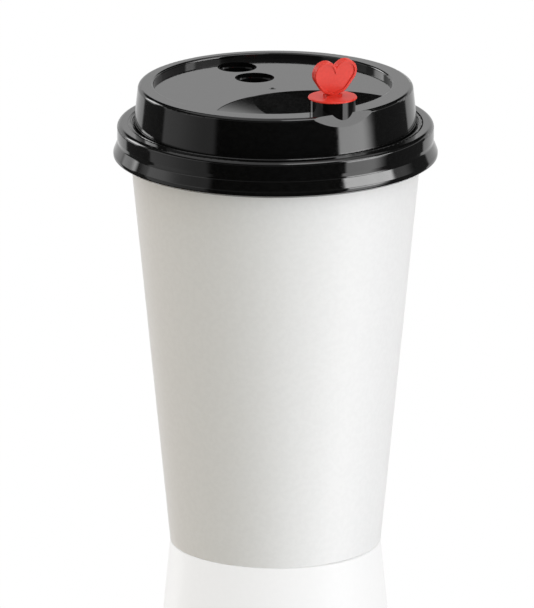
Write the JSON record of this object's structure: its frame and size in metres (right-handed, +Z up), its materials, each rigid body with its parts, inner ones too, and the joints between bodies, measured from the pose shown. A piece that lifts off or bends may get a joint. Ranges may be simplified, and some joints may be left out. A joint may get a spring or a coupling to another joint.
{
  "type": "paper cup with lid",
  "caption": "Tapered paper drinks cup with a rolled rim, a moulded domed lid with a raised drinking spout, and a heart-shaped pull plug.",
  "frame": {"origin": "centre of the cup's base, on the surface that the cup stands on", "axes": "+Z up along the cup's axis; -Y towards the lid's drinking spout; +X to the right of someone facing the spout's back"},
  "size_m": [0.0944, 0.0944, 0.1526],
  "materials": {
    "cup_paper": "matte white coated paper board",
    "bottom_paper": "matte white coated paper board",
    "lid_plastic": "glossy black moulded plastic",
    "plug_plastic": "semi-gloss red moulded plastic"
  },
  "bodies": {
    "cup": {"cup_wall": "cup_paper", "cup_bottom": "bottom_paper"},
    "lid": {"lid": "lid_plastic"},
    "plug": {"plug": "plug_plastic"}
  },
  "joints": [
    {"name": "lid_lift", "type": "slide", "parent": "cup", "child": "lid", "axis": [0, 0, 1], "range_m": [0, 0.04]},
    {"name": "plug_pull", "type": "slide", "parent": "lid", "child": "plug", "axis": [0, 0, 1], "range_m": [0, 0.02]}
  ]
}
